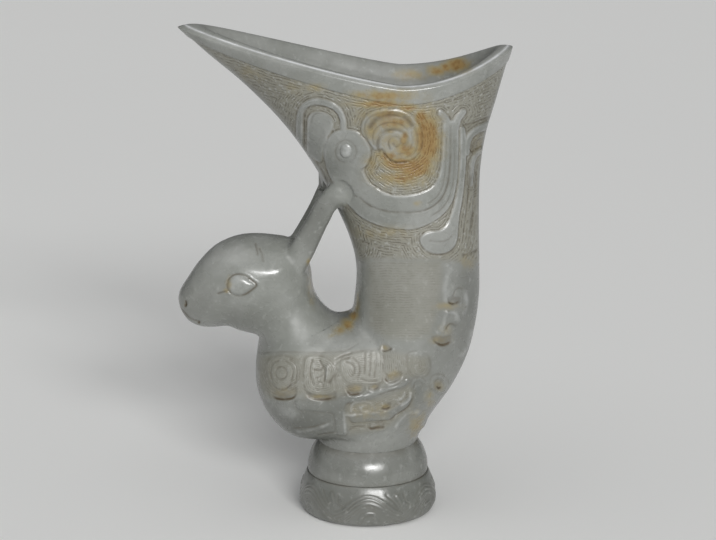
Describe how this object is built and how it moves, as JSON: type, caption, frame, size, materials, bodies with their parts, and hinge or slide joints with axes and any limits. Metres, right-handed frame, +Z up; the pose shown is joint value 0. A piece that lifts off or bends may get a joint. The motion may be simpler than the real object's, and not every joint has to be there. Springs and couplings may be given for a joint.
{
  "type": "wine cup",
  "caption": "Horn-shaped wine cup of pale carved jade: pointed spout, a small beast's head on a curved neck, long ears leaning on the horn, and a round pedestal foot.",
  "frame": {"origin": "centre of the pedestal's flat underside", "axes": "+Z up, -X towards the spout and the beast's head, -Y towards the beast's left side, which the picture shows"},
  "size_m": [0.113, 0.0484, 0.1685],
  "materials": {
    "carved_jade": "waxy polish over shallow carving, brown earth stain in the recesses",
    "polished_jade": "waxy polish",
    "dusky_jade": "waxy polish over shallow carving"
  },
  "bodies": {
    "root": {"foot_base": "dusky_jade", "foot_collar": "polished_jade", "horn_cup": "carved_jade", "head": "polished_jade", "left_ear": "polished_jade", "right_ear": "polished_jade", "left_eye": "polished_jade", "right_eye": "polished_jade", "left_boss": "polished_jade", "right_boss": "polished_jade"}
  },
  "joints": []
}
